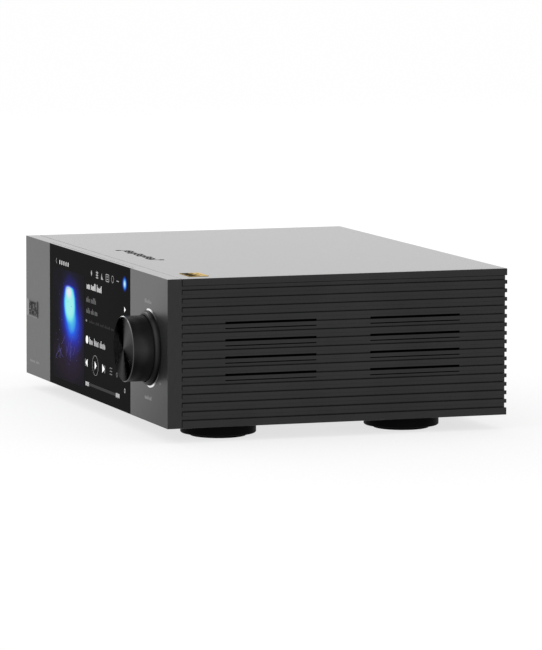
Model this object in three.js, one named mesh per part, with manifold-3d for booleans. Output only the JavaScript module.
// Desktop DAC: a low black case with a full-height touch display, one push-and-turn knob,
// finned side panels, four round feet and a field of sockets at the rear.
// Millimetres. X points right as seen from the front, Y to the rear, Z up.
import * as THREE from "three";
import { mergeVertices } from "three/addons/utils/BufferGeometryUtils.js";
import Module from "manifold-3d";

const wasm = await Module();
wasm.setup();

// ---------------------------------------------------------------- driving dimensions
const CASE = { width: 264, depth: 194, height: 80 };
const FOOT = { radius: 20.2, padRadius: 15.4, padHeight: 2.2, height: 8 };
const FOOT_X = 103.5;
const FOOT_FROM_FRONT = [38, 143.5];
const KNOB = { x: 100, radius: 17.7, reach: 14.5, chamfer: 0.7, depthInside: 2 };
const JACK_REACH = 10.5; // phono sockets, measured from the case's rear end
const FACE_THICKNESS = 8;
const TOP_THICKNESS = 3.8;
const BOTTOM_THICKNESS = 2.5;
const REAR_THICKNESS = 2.5;
const REAR_INSET = 1;
const SIDE_THICKNESS = 6.5;
const SEAM = 0.25; // visible joint between two case panels
const FIT = 0.3; // gap between pieces that touch
const GROOVE = { count: 16, pitch: 4.65, height: 2.5, depth: 3.1 };
const VENT_FINS = [5, 7, 9, 11]; // counted from the top
const VENT_GROUPS = [[33.5, 85], [116, 167.5]]; // from the front face
const VENT_MARGIN = 0.7; // how far a vent reaches past its fin, above and below
const GLASS = { left: -84, right: 66.6, thickness: 2 };
const SCREEN = { left: -80, right: 62.6, low: 12, high: 84, thickness: 3.5 };
const RECESS = { radius: 20.3, chamfer: 1, depth: 6 };
const ROUND = { large: 56, medium: 32, small: 22, tiny: 12 }; // sides of a full turn, by size

// ---------------------------------------------------------------- derived planes
const frontY = -(CASE.depth + JACK_REACH - KNOB.reach) / 2;
const rearY = frontY + CASE.depth;
const halfWidth = CASE.width / 2;
const baseZ = FOOT.height;
const topZ = baseZ + CASE.height;
const middleZ = baseZ + CASE.height / 2;
const faceBack = frontY + FACE_THICKNESS;
const bodyFront = faceBack + SEAM;
const panelTop = topZ - TOP_THICKNESS - SEAM;
const innerX = halfWidth - SIDE_THICKNESS;
const socketY = rearY - REAR_INSET; // outer face of the rear panel
const rearPanelFront = socketY - REAR_THICKNESS;
const floorZ = baseZ + BOTTOM_THICKNESS;
const knobFront = frontY - KNOB.reach;

// ---------------------------------------------------------------- finishes
const finish = (color, roughness, metalness) =>
  new THREE.MeshStandardMaterial({ color, roughness, metalness });
const FINISH = {
  blackAluminium: finish(0x2e2e30, 0.4, 1),
  knobAluminium: finish(0x1c1c1e, 0.3, 1),
  glass: finish(0x08080a, 0.05, 0),
  screen: finish(0x14143a, 0.3, 0),
  steel: finish(0x9a9ca0, 0.35, 1),
  blackSteel: finish(0x202022, 0.45, 1),
  gold: finish(0xc9a04a, 0.25, 1),
  nickel: finish(0xb8b6ae, 0.3, 1),
  blackPlastic: finish(0x101012, 0.5, 0),
  rubber: finish(0x0a0a0a, 0.8, 0),
  board: finish(0x14402a, 0.5, 0),
  copper: finish(0xb06a3a, 0.45, 1),
  label: finish(0xc8a43c, 0.4, 0.6),
};

// ---------------------------------------------------------------- shape helpers
// A box between two corners, each axis given as [low, high].
function block([x0, x1], [y0, y1], [z0, z1]) {
  return new THREE.BoxGeometry(x1 - x0, y1 - y0, z1 - z0).translate(
    (x0 + x1) / 2, (y0 + y1) / 2, (z0 + z1) / 2,
  );
}

// A turned piece about the Y axis; the profile holds [radius, y] with y rising on the outside.
function turnedY(profile, segments = ROUND.small) {
  return new THREE.LatheGeometry(profile.map(([r, y]) => new THREE.Vector2(r, y)), segments);
}

// A turned piece about the Z axis; the profile holds [radius, z] with z rising on the outside.
function turnedZ(profile, segments = ROUND.small) {
  return turnedY(profile, segments).rotateX(Math.PI / 2);
}

function shapeOf(points) {
  return new THREE.Shape(points.map(([u, v]) => new THREE.Vector2(u, v)));
}

// An outline in X and Z, pushed along Y.
function alongY(points, [y0, y1]) {
  return new THREE.ExtrudeGeometry(shapeOf(points), { depth: y1 - y0, bevelEnabled: false })
    .rotateX(Math.PI / 2)
    .translate(0, y1, 0);
}

// An outline in Y and Z, pushed along X.
function alongX(points, [x0, x1]) {
  const turned = points.map(([y, z]) => [-z, y]);
  return new THREE.ExtrudeGeometry(shapeOf(turned), { depth: x1 - x0, bevelEnabled: false })
    .rotateY(Math.PI / 2)
    .translate(x0, 0, 0);
}

// A closed geometry as a solid that can be joined and cut.
function solid(geometry) {
  const loose = geometry.index ? geometry.toNonIndexed() : geometry;
  const bare = new THREE.BufferGeometry();
  bare.setAttribute("position", loose.getAttribute("position"));
  const merged = mergeVertices(bare, 1e-4);
  return new wasm.Manifold(new wasm.Mesh({
    numProp: 3,
    vertProperties: merged.attributes.position.array,
    triVerts: new Uint32Array(merged.index.array),
  }));
}

function geometryOf(manifold) {
  const mesh = manifold.getMesh();
  const geometry = new THREE.BufferGeometry();
  geometry.setAttribute("position", new THREE.BufferAttribute(mesh.vertProperties, 3));
  geometry.setIndex(new THREE.BufferAttribute(mesh.triVerts, 1));
  geometry.computeVertexNormals();
  return geometry;
}

function cut(base, ...cutters) {
  return geometryOf(cutters.reduce((left, cutter) => left.subtract(solid(cutter)), solid(base)));
}

function join(base, ...others) {
  return geometryOf(others.reduce((left, other) => left.add(solid(other)), solid(base)));
}

const device = new THREE.Group();

function piece(name, geometry, material, [x, y, z] = [0, 0, 0]) {
  const mesh = new THREE.Mesh(geometry, material);
  mesh.name = name;
  mesh.position.set(x, y, z);
  device.add(mesh);
}

// ---------------------------------------------------------------- front panel
// The plate has a shallow full-height bed for the glass, a window for the screen, and a round
// recess with a chamfered mouth whose floor carries the encoder's bushing.
const BUSHING = { radius: 4.4, hole: 4.7, reach: 3.6 };
const glassBack = frontY + GLASS.thickness;
const recessFloor = frontY + RECESS.depth;

function faceplate() {
  const plate = block([-halfWidth, halfWidth], [frontY, faceBack], [baseZ, topZ]);
  const bed = block(
    [GLASS.left - FIT, GLASS.right + FIT], [frontY - 1, glassBack + FIT], [baseZ - 1, topZ + 1],
  );
  const window = block(
    [SCREEN.left, SCREEN.right], [frontY, faceBack + 1], [SCREEN.low, SCREEN.high],
  );
  const recess = turnedY([
    [0, frontY - 1],
    [RECESS.radius + RECESS.chamfer + 1, frontY - 1],
    [RECESS.radius, frontY + RECESS.chamfer],
    [RECESS.radius, recessFloor],
    [BUSHING.hole, recessFloor],
    [BUSHING.hole, faceBack + 1],
    [0, faceBack + 1],
  ], ROUND.large).translate(KNOB.x, 0, middleZ);
  return cut(plate, bed, window, recess);
}

piece("faceplate", faceplate(), FINISH.blackAluminium);
piece(
  "display_glass",
  block([GLASS.left, GLASS.right], [frontY, glassBack], [baseZ, topZ]),
  FINISH.glass,
);

const screenFront = glassBack + FIT;
const screenBack = screenFront + SCREEN.thickness;
piece(
  "lcd_panel",
  block(
    [SCREEN.left + FIT, SCREEN.right - FIT],
    [screenFront, screenBack],
    [SCREEN.low + FIT, SCREEN.high - FIT],
  ),
  FINISH.screen,
);

// A pressed steel tray screwed to the back of the faceplate holds the screen in its window. Its
// middle is pressed forward until it meets the screen.
function screenTray() {
  const flange = block(
    [SCREEN.left - 6, SCREEN.right + 6], [faceBack + FIT, faceBack + FIT + 1],
    [SCREEN.low - 1.2, SCREEN.high - 0.8],
  );
  const pressed = block(
    [SCREEN.left + 2, SCREEN.right - 2], [screenBack + FIT, faceBack + FIT + 1],
    [SCREEN.low + 2, SCREEN.high - 2],
  );
  const hollow = block(
    [SCREEN.left + 3, SCREEN.right - 3], [screenBack + FIT + 1, faceBack + FIT + 2],
    [SCREEN.low + 3, SCREEN.high - 3],
  );
  return geometryOf(solid(flange).add(solid(pressed)).subtract(solid(hollow)));
}

piece("lcd_tray", screenTray(), FINISH.steel);

// ---------------------------------------------------------------- knob and encoder
const RING = { radius: 19.9, lip: 2.5, crown: 3.3, bore: 18.15, depth: 5.2 };

piece("knob_ring", turnedY([
  [RING.bore, frontY - RING.crown],
  [RING.bore + 0.3, frontY - RING.crown],
  [RING.radius, frontY - RING.lip],
  [RING.radius, frontY + RING.depth],
  [RING.bore, frontY + RING.depth],
  [RING.bore, frontY - RING.crown],
], ROUND.large), FINISH.knobAluminium, [KNOB.x, 0, middleZ]);

// A deep cup: the rim slides inside the ring when the knob is pressed.
const KNOB_WALL = 2.2;
const KNOB_FACE = 4;
const INSERT = { radius: 7, bore: 3.2, length: 11.6 };
const knobBack = frontY + KNOB.depthInside;
const insertFront = knobFront + KNOB_FACE + 0.1;

piece("knob_cap", turnedY([
  [0, knobFront],
  [KNOB.radius - KNOB.chamfer, knobFront],
  [KNOB.radius, knobFront + KNOB.chamfer],
  [KNOB.radius, knobBack],
  [KNOB.radius - KNOB_WALL, knobBack],
  [KNOB.radius - KNOB_WALL, knobFront + KNOB_FACE],
  [0, knobFront + KNOB_FACE],
], ROUND.large), FINISH.knobAluminium, [KNOB.x, 0, middleZ]);

// A moulded insert grips the shaft and fills the cup with a web.
piece("knob_insert", turnedY([
  [0, insertFront],
  [KNOB.radius - KNOB_WALL - FIT, insertFront],
  [KNOB.radius - KNOB_WALL - FIT, insertFront + 2],
  [INSERT.radius, insertFront + 2],
  [INSERT.radius, insertFront + INSERT.length],
  [INSERT.bore, insertFront + INSERT.length],
  [INSERT.bore, insertFront + 1],
  [0, insertFront + 1],
], ROUND.small), FINISH.blackPlastic, [KNOB.x, 0, middleZ]);

const HOUSING = { half: 7, front: faceBack + FIT, depth: 9 };
const housingBack = HOUSING.front + HOUSING.depth;
const shaftBack = HOUSING.front + 3;
const SHAFT_RADIUS = 2.9;

piece("encoder_shaft", turnedY([
  [0, insertFront + 1 + FIT],
  [SHAFT_RADIUS, insertFront + 1 + FIT],
  [SHAFT_RADIUS, shaftBack],
  [0, shaftBack],
], ROUND.small), FINISH.steel, [KNOB.x, 0, middleZ]);

// Square housing with a threaded bushing in front, bored for the shaft and open at the back for
// the push plate.
function encoderHousing() {
  const body = block(
    [-HOUSING.half, HOUSING.half], [HOUSING.front, housingBack], [-HOUSING.half, HOUSING.half],
  );
  const bushing = turnedY([
    [0, recessFloor - BUSHING.reach],
    [BUSHING.radius, recessFloor - BUSHING.reach],
    [BUSHING.radius, HOUSING.front + 1],
    [0, HOUSING.front + 1],
  ]);
  const bore = turnedY([
    [0, frontY - 1],
    [SHAFT_RADIUS + 0.15, frontY - 1],
    [SHAFT_RADIUS + 0.15, HOUSING.front + 3],
    [0, HOUSING.front + 3],
  ]);
  const chamber = turnedY([
    [0, HOUSING.front + 1.5],
    [5.4, HOUSING.front + 1.5],
    [5.4, housingBack + 1],
    [0, housingBack + 1],
  ]);
  return geometryOf(solid(body).add(solid(bushing)).subtract(solid(bore)).subtract(solid(chamber)));
}

piece("encoder_housing", encoderHousing(), FINISH.steel, [KNOB.x, 0, middleZ]);

const NUT = { radius: 6.9, thickness: 2 };
piece("encoder_nut", cut(
  turnedY([
    [0, recessFloor - FIT - NUT.thickness],
    [NUT.radius, recessFloor - FIT - NUT.thickness],
    [NUT.radius, recessFloor - FIT],
    [0, recessFloor - FIT],
  ], 6),
  turnedY([
    [0, frontY - 1],
    [BUSHING.radius + 0.15, frontY - 1],
    [BUSHING.radius + 0.15, faceBack],
    [0, faceBack],
  ]),
), FINISH.nickel, [KNOB.x, 0, middleZ]);

// The push plate rides behind the shaft and closes the push contact on the board.
piece("push_plate", turnedY([
  [0, shaftBack + 0.1],
  [4.8, shaftBack + 0.1],
  [4.8, shaftBack + 1.6],
  [1.5, shaftBack + 1.6],
  [1.5, shaftBack + 3.2],
  [0, shaftBack + 3.2],
], ROUND.small), FINISH.blackPlastic, [KNOB.x, 0, middleZ]);

piece("knob_board", cut(
  block([KNOB.x - 16, KNOB.x + 12], [housingBack + FIT, housingBack + FIT + 1.6], [30, 68]),
  block([KNOB.x - 14, KNOB.x - 9], [housingBack, housingBack + 3], [60, 65]),
), FINISH.board);

// ---------------------------------------------------------------- case panels
const firstGrooveTop = topZ - TOP_THICKNESS;
const grooveTop = (i) => firstGrooveTop - i * GROOVE.pitch;
const RAIL = { width: 6.5, height: 7.5 };

// Outline of one side panel, with its grooves outside and two screw rails inside.
function sideOutline(side) {
  const outer = halfWidth;
  const floor = halfWidth - GROOVE.depth;
  const rail = innerX - RAIL.width;
  const lowRail = floorZ + 0.5;
  const points = [[innerX, baseZ], [outer, baseZ]];
  for (let i = GROOVE.count - 1; i >= 0; i--) {
    points.push([outer, grooveTop(i) - GROOVE.height], [floor, grooveTop(i) - GROOVE.height]);
    if (i > 0) points.push([floor, grooveTop(i)], [outer, grooveTop(i)]);
  }
  points.push(
    [floor, panelTop], [rail, panelTop], [rail, panelTop - RAIL.height],
    [innerX, panelTop - RAIL.height], [innerX, lowRail + RAIL.height],
    [rail, lowRail + RAIL.height], [rail, lowRail], [innerX, lowRail],
  );
  return points.map(([x, z]) => [side * x, z]);
}

const orderedX = (side, a, b) => (side > 0 ? [a, b] : [-b, -a]);
const REAR_SCREW = {
  x: innerX - 3.2, low: floorZ + 4.2, high: panelTop - 3.8, length: 9, hole: 1.8,
};

function sidePanel(side) {
  const panel = alongY(sideOutline(side), [bodyFront, rearY]);
  const rearStep = block(
    orderedX(side, innerX - RAIL.width - 1, innerX),
    [rearPanelFront - FIT, rearY + 1],
    [baseZ - 1, topZ],
  );
  const vents = VENT_FINS.flatMap((fin) => {
    const low = grooveTop(fin) - VENT_MARGIN;
    const high = grooveTop(fin - 1) - GROOVE.height + VENT_MARGIN;
    return VENT_GROUPS.map(([start, end]) => block(
      orderedX(side, innerX - 1, halfWidth - GROOVE.depth + 0.4),
      [frontY + start, frontY + end],
      [low, high],
    ));
  });
  const screwHoles = [REAR_SCREW.low, REAR_SCREW.high].map((z) => turnedY([
    [0, rearPanelFront - 10], [REAR_SCREW.hole, rearPanelFront - 10],
    [REAR_SCREW.hole, rearY], [0, rearY],
  ], ROUND.tiny).translate(side * REAR_SCREW.x, 0, z));
  return cut(panel, rearStep, ...vents, ...screwHoles);
}

piece("side_panel_right", sidePanel(1), FINISH.blackAluminium);
piece("side_panel_left", sidePanel(-1), FINISH.blackAluminium);
piece(
  "top_cover",
  block([-halfWidth, halfWidth], [bodyFront, rearY], [topZ - TOP_THICKNESS, topZ]),
  FINISH.blackAluminium,
);

// ---------------------------------------------------------------- boards inside
const BOARD = { low: floorZ + 7.5, thickness: 1.6 };
const boardTop = BOARD.low + BOARD.thickness;
const MAIN_BOARD = { x: [-54, 116], y: [-34, rearPanelFront - 1] };
const POWER_BOARD = { x: [-117, -60], y: [-66, 70] };

function corners({ x, y }, inset) {
  return x.flatMap((cx, i) => y.map((cy, j) => [
    cx + (i ? -inset : inset), cy + (j ? -inset : inset),
  ]));
}

// ---------------------------------------------------------------- base with standoffs and feet
const FOOT_SCREW_HOLE = 2.4;
const footPlaces = [-1, 1].flatMap((side) => FOOT_FROM_FRONT.map((along, i) => ({
  name: `${i ? "rear" : "front"}_${side < 0 ? "left" : "right"}`,
  at: [side * FOOT_X, frontY + along, 0],
})));

function bottomPlate() {
  const plate = block(
    [-innerX + FIT, innerX - FIT], [bodyFront, rearPanelFront - FIT], [baseZ, floorZ],
  );
  const standoffs = [...corners(MAIN_BOARD, 6), ...corners(POWER_BOARD, 6)].map(([x, y]) => turnedZ(
    [[0, floorZ - 1], [3, floorZ - 1], [3, BOARD.low - 0.1], [0, BOARD.low - 0.1]],
    ROUND.tiny,
  ).translate(x, y, 0));
  const holes = footPlaces.map(({ at }) => turnedZ([
    [0, baseZ - 1], [FOOT_SCREW_HOLE, baseZ - 1], [FOOT_SCREW_HOLE, floorZ + 1], [0, floorZ + 1],
  ], ROUND.tiny).translate(...at));
  const joined = standoffs.reduce((base, post) => base.add(solid(post)), solid(plate));
  return geometryOf(holes.reduce((base, hole) => base.subtract(solid(hole)), joined));
}

piece("bottom_plate", bottomPlate(), FINISH.blackSteel);

const padTop = FOOT.padHeight;
const footTop = baseZ - 0.1;
const footBody = turnedZ([
  [FOOT_SCREW_HOLE, padTop + 1.4],
  [4.6, padTop + 1.4],
  [4.6, padTop + 0.1],
  [FOOT.radius - 1, padTop + 0.1],
  [FOOT.radius, padTop + 1.1],
  [FOOT.radius, footTop],
  [FOOT_SCREW_HOLE, footTop],
  [FOOT_SCREW_HOLE, padTop + 1.4],
], ROUND.medium);
const footPad = turnedZ([
  [5, 0],
  [FOOT.padRadius - 0.5, 0],
  [FOOT.padRadius, 0.5],
  [FOOT.padRadius, padTop],
  [5, padTop],
  [5, 0],
], ROUND.medium);
const footScrew = turnedZ([
  [0, 0.8],
  [4.2, 0.8],
  [4.2, padTop + 1.1],
  [2, padTop + 1.1],
  [2, floorZ + 3],
  [0, floorZ + 3],
], ROUND.tiny);
for (const { name, at } of footPlaces) {
  piece(`foot_${name}`, footBody, FINISH.blackPlastic, at);
  piece(`foot_pad_${name}`, footPad, FINISH.rubber, at);
  piece(`foot_screw_${name}`, footScrew, FINISH.steel, at);
}

piece(
  "main_board",
  block(MAIN_BOARD.x, MAIN_BOARD.y, [BOARD.low, boardTop]),
  FINISH.board,
);
piece(
  "power_board",
  block(POWER_BOARD.x, POWER_BOARD.y, [BOARD.low, boardTop]),
  FINISH.board,
);

// ---------------------------------------------------------------- on the boards
const SHIELD = { x: [40, 100], y: [-26, 24], height: 14 };
piece(
  "analogue_shield",
  block(SHIELD.x, SHIELD.y, [boardTop + 0.1, boardTop + SHIELD.height]),
  FINISH.nickel,
);

// Finned heat sink on the network processor.
const SINK = { x: -24, y: -4, size: 32, base: 3, fin: 2, fins: 5, height: 20 };
function heatSink() {
  const gap = (SINK.size - SINK.fins * SINK.fin) / (SINK.fins - 1);
  const outline = [[-SINK.size / 2, 0], [SINK.size / 2, 0]];
  for (let i = SINK.fins - 1; i >= 0; i--) {
    const left = -SINK.size / 2 + i * (SINK.fin + gap);
    if (i < SINK.fins - 1) outline.push([left + SINK.fin, SINK.base]);
    outline.push([left + SINK.fin, SINK.height], [left, SINK.height]);
    if (i > 0) outline.push([left, SINK.base]);
  }
  return alongY(outline, [-SINK.size / 2, SINK.size / 2]);
}
piece("heat_sink", heatSink(), FINISH.blackAluminium, [SINK.x, SINK.y, boardTop + 0.1]);

// Ring-core transformer, clamped by a dished plate and one bolt.
const CORE = { x: -89, y: -30, outer: 25, inner: 9, height: 24, low: boardTop + 0.1 };
const coreTop = CORE.low + CORE.height;
const transformerAt = [CORE.x, CORE.y, 0];
piece("transformer", turnedZ([
  [CORE.inner, CORE.low + 3],
  [CORE.inner + 3, CORE.low],
  [CORE.outer - 4, CORE.low],
  [CORE.outer, CORE.low + 4],
  [CORE.outer, coreTop - 4],
  [CORE.outer - 4, coreTop],
  [CORE.inner + 3, coreTop],
  [CORE.inner, coreTop - 3],
  [CORE.inner, CORE.low + 3],
], ROUND.small), FINISH.copper, transformerAt);
piece("transformer_clamp", turnedZ([
  [3, coreTop + 0.2], [17, coreTop + 0.2], [17, coreTop + 1.4], [3, coreTop + 1.4],
  [3, coreTop + 0.2],
], ROUND.small), FINISH.steel, transformerAt);
piece("transformer_bolt", turnedZ([
  [0, CORE.low + 0.2], [2.6, CORE.low + 0.2], [2.6, coreTop + 1.6], [5, coreTop + 1.6],
  [5, coreTop + 5], [0, coreTop + 5],
], ROUND.tiny), FINISH.steel, transformerAt);

const CAPACITOR = { radius: 8, height: 26 };
[-103, -80].forEach((x, i) => piece(`capacitor_${i + 1}`, turnedZ([
  [0, boardTop + 0.1], [CAPACITOR.radius, boardTop + 0.1],
  [CAPACITOR.radius, boardTop + CAPACITOR.height - 1],
  [CAPACITOR.radius - 1, boardTop + CAPACITOR.height], [0, boardTop + CAPACITOR.height],
], ROUND.small), FINISH.blackPlastic, [x, 22, 0]));

// Flat cable that comes off the screen tray, folds down and lands on the main board.
const FLEX = { x: [-30, 0], thickness: 0.6, top: 46, drop: 10, reach: 6, landing: [-32, -23] };
function flexCable() {
  const start = faceBack + FIT + 1.2;
  const low = boardTop + 0.1;
  const t = FLEX.thickness;
  const [landed, end] = FLEX.landing;
  return alongX([
    [start, FLEX.top - FLEX.drop],
    [start, FLEX.top],
    [start + FLEX.reach, FLEX.top],
    [landed, low + t],
    [end, low + t],
    [end, low],
    [landed - t, low],
    [start + FLEX.reach - t, FLEX.top - t],
    [start + t, FLEX.top - t],
    [start + t, FLEX.top - FLEX.drop],
  ], FLEX.x);
}
piece("display_flex", flexCable(), FINISH.copper);

// ---------------------------------------------------------------- rear sockets
const SOCKET = {
  inlet: { x: -93, z: 33 },
  switch: { x: -93, z: 66 },
  balanced: [{ x: -42, z: 58 }, { x: -8, z: 58 }],
  phono: [{ x: 26, z: 60 }, { x: 50, z: 60 }],
  coaxial: { x: 44, z: 28 },
  optical: { x: 22, z: 26 },
  usbDevice: { x: 64, z: 26 },
  usbHost: { x: 84, z: 24.6 },
  network: { x: 105, z: 27.4 },
};
const FLANGE = 2; // flanges stand this far out from the rear panel
const flangeBack = socketY + 0.1;
const flangeFront = flangeBack + FLANGE;

const boxAbout = (halfX, ys, halfZ, [x, z] = [0, 0]) =>
  block([x - halfX, x + halfX], ys, [z - halfZ, z + halfZ]);

const INLET = { flange: [15.3, 12.2], body: [13.5, 9.9], cavity: [11.9, 8.1], corner: 4.5 };
const inletFloor = socketY - 18;
const bladeTip = flangeFront - 5;

function mainsInlet() {
  const [cx, cz] = INLET.cavity;
  const c = INLET.corner;
  const cavity = alongY(
    [[-cx, -cz], [cx, -cz], [cx, cz - c], [cx - c, cz], [c - cx, cz], [-cx, cz - c]],
    [inletFloor, flangeFront + 1],
  );
  const blades = [[-7, -2], [7, -2], [0, 2]].map(
    (at) => boxAbout(1, [inletFloor - 0.5, bladeTip], 2, at),
  );
  const shell = solid(boxAbout(INLET.flange[0], [flangeBack, flangeFront], INLET.flange[1]))
    .add(solid(boxAbout(INLET.body[0], [inletFloor - 3, flangeBack + 1], INLET.body[1])))
    .subtract(solid(cavity));
  return geometryOf(blades.reduce((inlet, blade) => inlet.add(solid(blade)), shell));
}
piece("mains_inlet", mainsInlet(), FINISH.blackPlastic, [SOCKET.inlet.x, 0, SOCKET.inlet.z]);

const ROCKER = { half: 7.6, centre: 2.6, edge: 3.9, width: 5.3, tilt: 12, pivot: flangeFront - 4.1 };
function switchFrame() {
  const shell = solid(boxAbout(7.5, [flangeBack, flangeFront], 10.5))
    .add(solid(boxAbout(6.4, [ROCKER.pivot - 9, flangeBack + 1], 9.6)));
  return geometryOf(shell.subtract(
    solid(boxAbout(5.6, [ROCKER.pivot - 5, flangeFront + 1], 8.7)),
  ));
}
const switchAt = [SOCKET.switch.x, 0, SOCKET.switch.z];
piece("switch_frame", switchFrame(), FINISH.blackPlastic, switchAt);

// The rocker is drawn level about its pivot and stored tilted, with its lower half pressed.
const rockerMesh = alongX([
  [1, -ROCKER.half], [ROCKER.edge, -ROCKER.half], [ROCKER.centre, 0], [ROCKER.edge, ROCKER.half],
  [1, ROCKER.half], [-3, 3], [-3, -3],
], [-ROCKER.width, ROCKER.width]).rotateX(-THREE.MathUtils.degToRad(ROCKER.tilt));
piece(
  "power_rocker", rockerMesh, FINISH.blackPlastic,
  [SOCKET.switch.x, ROCKER.pivot, SOCKET.switch.z],
);

// Balanced output: a square flange, a round shell and three pins set back from its mouth.
const BALANCED = { shell: 11.2, bore: 8, pinRadius: 1.2, pinCircle: 3.5, mouth: flangeFront + 1.2 };
const balancedFloor = BALANCED.mouth - 15;
function balancedOutput() {
  const shell = turnedY([
    [0, balancedFloor - 4], [BALANCED.shell, balancedFloor - 4],
    [BALANCED.shell, BALANCED.mouth], [0, BALANCED.mouth],
  ], ROUND.medium);
  const bore = turnedY([
    [0, balancedFloor], [BALANCED.bore, balancedFloor],
    [BALANCED.bore, BALANCED.mouth + 1], [0, BALANCED.mouth + 1],
  ], ROUND.medium);
  const pins = [90, 210, 330].map((degrees) => {
    const angle = THREE.MathUtils.degToRad(degrees);
    return turnedY([
      [0, balancedFloor - 0.5], [BALANCED.pinRadius, balancedFloor - 0.5],
      [BALANCED.pinRadius, BALANCED.mouth - 4.8], [0, BALANCED.mouth - 4.8],
    ], ROUND.tiny).translate(BALANCED.pinCircle * Math.cos(angle), 0, BALANCED.pinCircle * Math.sin(angle));
  });
  const body = solid(boxAbout(13, [flangeBack, flangeFront], 15.5))
    .add(solid(shell))
    .subtract(solid(bore));
  return geometryOf(pins.reduce((output, pin) => output.add(solid(pin)), body));
}
const balancedMesh = balancedOutput();
SOCKET.balanced.forEach(({ x, z }, i) => piece(
  `balanced_output_${i ? "right" : "left"}`, balancedMesh, FINISH.blackSteel, [x, 0, z],
));

// Phono socket: a threaded body through the panel, a collar and a barrel with a centre bore.
const PHONO = { thread: 3.6, collar: 6.2, barrel: 4.15, bore: 1.75, depth: 9 };
function phonoSocket(tip) {
  return turnedY([
    [0, socketY - 14], [PHONO.thread, socketY - 14], [PHONO.thread, flangeBack],
    [PHONO.collar, flangeBack], [PHONO.collar, flangeFront], [PHONO.barrel, flangeFront],
    [PHONO.barrel, tip], [PHONO.bore, tip], [PHONO.bore, tip - PHONO.depth],
    [0, tip - PHONO.depth],
  ], ROUND.small);
}
const phonoMesh = phonoSocket(rearY + JACK_REACH);
SOCKET.phono.forEach(({ x, z }, i) => piece(
  `phono_output_${i ? "right" : "left"}`, phonoMesh, FINISH.gold, [x, 0, z],
));
piece("coaxial_input", phonoMesh, FINISH.gold, [SOCKET.coaxial.x, 0, SOCKET.coaxial.z]);

// Optical input: a square socket closed by a sprung flap that folds up and inwards.
const OPTICAL = { body: 5.1, cavity: 4, depth: 12, mouth: socketY + 1.6 };
const FLAP = { half: 3.7, thickness: 0.8, hinge: 3.1, barrel: 0.55, y: OPTICAL.mouth - 1.2 };
piece("optical_input", cut(
  boxAbout(OPTICAL.body, [OPTICAL.mouth - OPTICAL.depth - 3, OPTICAL.mouth], OPTICAL.body),
  boxAbout(OPTICAL.cavity, [OPTICAL.mouth - OPTICAL.depth, OPTICAL.mouth + 1], OPTICAL.cavity),
), FINISH.blackPlastic, [SOCKET.optical.x, 0, SOCKET.optical.z]);
const flapBarrel = turnedY([
  [0, -FLAP.half], [FLAP.barrel, -FLAP.half], [FLAP.barrel, FLAP.half], [0, FLAP.half],
], ROUND.tiny).rotateZ(Math.PI / 2);
piece(
  "optical_flap",
  join(
    boxAbout(FLAP.half, [-FLAP.thickness / 2, FLAP.thickness / 2], FLAP.hinge, [0, -FLAP.hinge]),
    flapBarrel,
  ),
  FINISH.blackPlastic,
  [SOCKET.optical.x, FLAP.y, SOCKET.optical.z + FLAP.hinge],
);

// A metal or plastic box with a cavity, and a contact tongue where one is given.
function boxSocket({ half, cavity, mouth, depth, tongue }) {
  const shell = solid(boxAbout(half[0], [mouth - depth - 3, mouth], half[1]))
    .subtract(solid(boxAbout(cavity[0], [mouth - depth, mouth + 1], cavity[1])));
  if (!tongue) return geometryOf(shell);
  const [halfX, halfZ, z] = tongue;
  return geometryOf(shell.add(
    solid(boxAbout(halfX, [mouth - depth - 1, mouth - 0.8], halfZ, [0, z])),
  ));
}
const portMouth = socketY + 0.8;
const USB_DEVICE = {
  half: [6, 5.4], cavity: [4.25, 3.9], mouth: portMouth, depth: 9, tongue: [2.85, 1.6, 0],
};
const USB_HOST = {
  half: [7.2, 3.9], cavity: [6.25, 2.6], mouth: portMouth, depth: 9, tongue: [5.5, 0.9, 1.1],
};
const NETWORK = { half: [8, 6.7], cavity: [5.9, 4], mouth: portMouth, depth: 13 };
piece(
  "usb_input", boxSocket(USB_DEVICE), FINISH.nickel,
  [SOCKET.usbDevice.x, 0, SOCKET.usbDevice.z],
);
piece("usb_host", boxSocket(USB_HOST), FINISH.nickel, [SOCKET.usbHost.x, 0, SOCKET.usbHost.z]);
piece("network_port", boxSocket(NETWORK), FINISH.nickel, [SOCKET.network.x, 0, SOCKET.network.z]);

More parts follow.
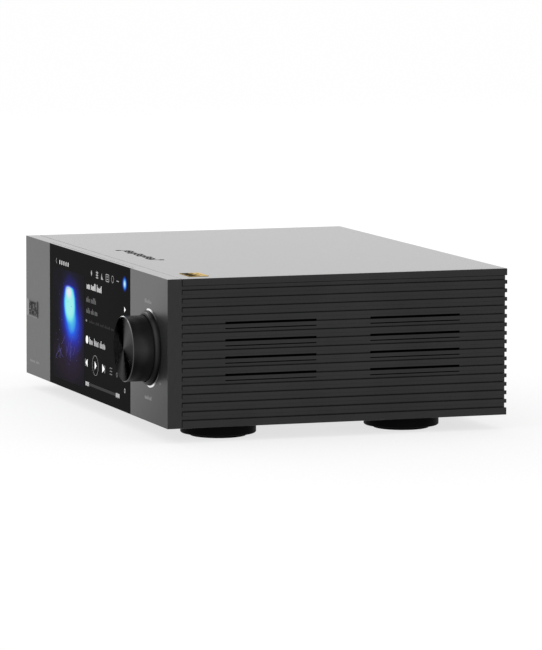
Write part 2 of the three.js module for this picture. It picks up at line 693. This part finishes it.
// ---------------------------------------------------------------- rear panel
function rearPanel() {
  const plate = block([-innerX + FIT, innerX - FIT], [rearPanelFront, socketY], [baseZ, panelTop]);
  const through = [rearPanelFront - 1, socketY + 1];
  const hole = (radius, { x, z }, segments) => turnedY([
    [0, through[0]], [radius, through[0]], [radius, through[1]], [0, through[1]],
  ], segments).translate(x, 0, z);
  const window = (halfX, halfZ, { x, z }) =>
    boxAbout(halfX + FIT, through, halfZ + FIT, [x, z]);
  const screws = [-1, 1].flatMap((side) => [REAR_SCREW.low, REAR_SCREW.high].map(
    (z) => hole(REAR_SCREW.hole, { x: side * REAR_SCREW.x, z }, ROUND.tiny),
  ));
  return cut(
    plate,
    window(...INLET.body, SOCKET.inlet),
    window(6.4, 9.6, SOCKET.switch),
    ...SOCKET.balanced.map((at) => hole(BALANCED.shell + FIT, at, ROUND.medium)),
    ...[...SOCKET.phono, SOCKET.coaxial].map((at) => hole(PHONO.thread + FIT, at, ROUND.small)),
    window(OPTICAL.body, OPTICAL.body, SOCKET.optical),
    window(...USB_DEVICE.half, SOCKET.usbDevice),
    window(...USB_HOST.half, SOCKET.usbHost),
    window(...NETWORK.half, SOCKET.network),
    ...screws,
  );
}
piece("rear_panel", rearPanel(), FINISH.blackSteel);

const rearScrew = turnedY([
  [0, socketY - REAR_SCREW.length],
  [1.5, socketY - REAR_SCREW.length],
  [1.5, flangeBack],
  [2.9, flangeBack],
  [2.9, flangeBack + 1],
  [2.2, flangeBack + 1.6],
  [0, flangeBack + 1.6],
], ROUND.tiny);
for (const side of [-1, 1]) {
  for (const [level, z] of [["low", REAR_SCREW.low], ["high", REAR_SCREW.high]]) {
    piece(
      `rear_screw_${level}_${side < 0 ? "left" : "right"}`, rearScrew, FINISH.steel,
      [side * REAR_SCREW.x, 0, z],
    );
  }
}

// ---------------------------------------------------------------- trim
const LABEL = { x: [104, 121], y: [frontY + 15.8, frontY + 26.8], thickness: 0.2 };
piece(
  "gold_label",
  block(LABEL.x, LABEL.y, [topZ + 0.02, topZ + 0.02 + LABEL.thickness]),
  FINISH.label,
);

const EMBLEM = { x: [-125.5, -108.5], z: [42.6, 51.4], thickness: 0.3 };
piece(
  "emblem_plate",
  block(EMBLEM.x, [frontY - 0.02 - EMBLEM.thickness, frontY - 0.02], EMBLEM.z),
  FINISH.knobAluminium,
);

export default device;
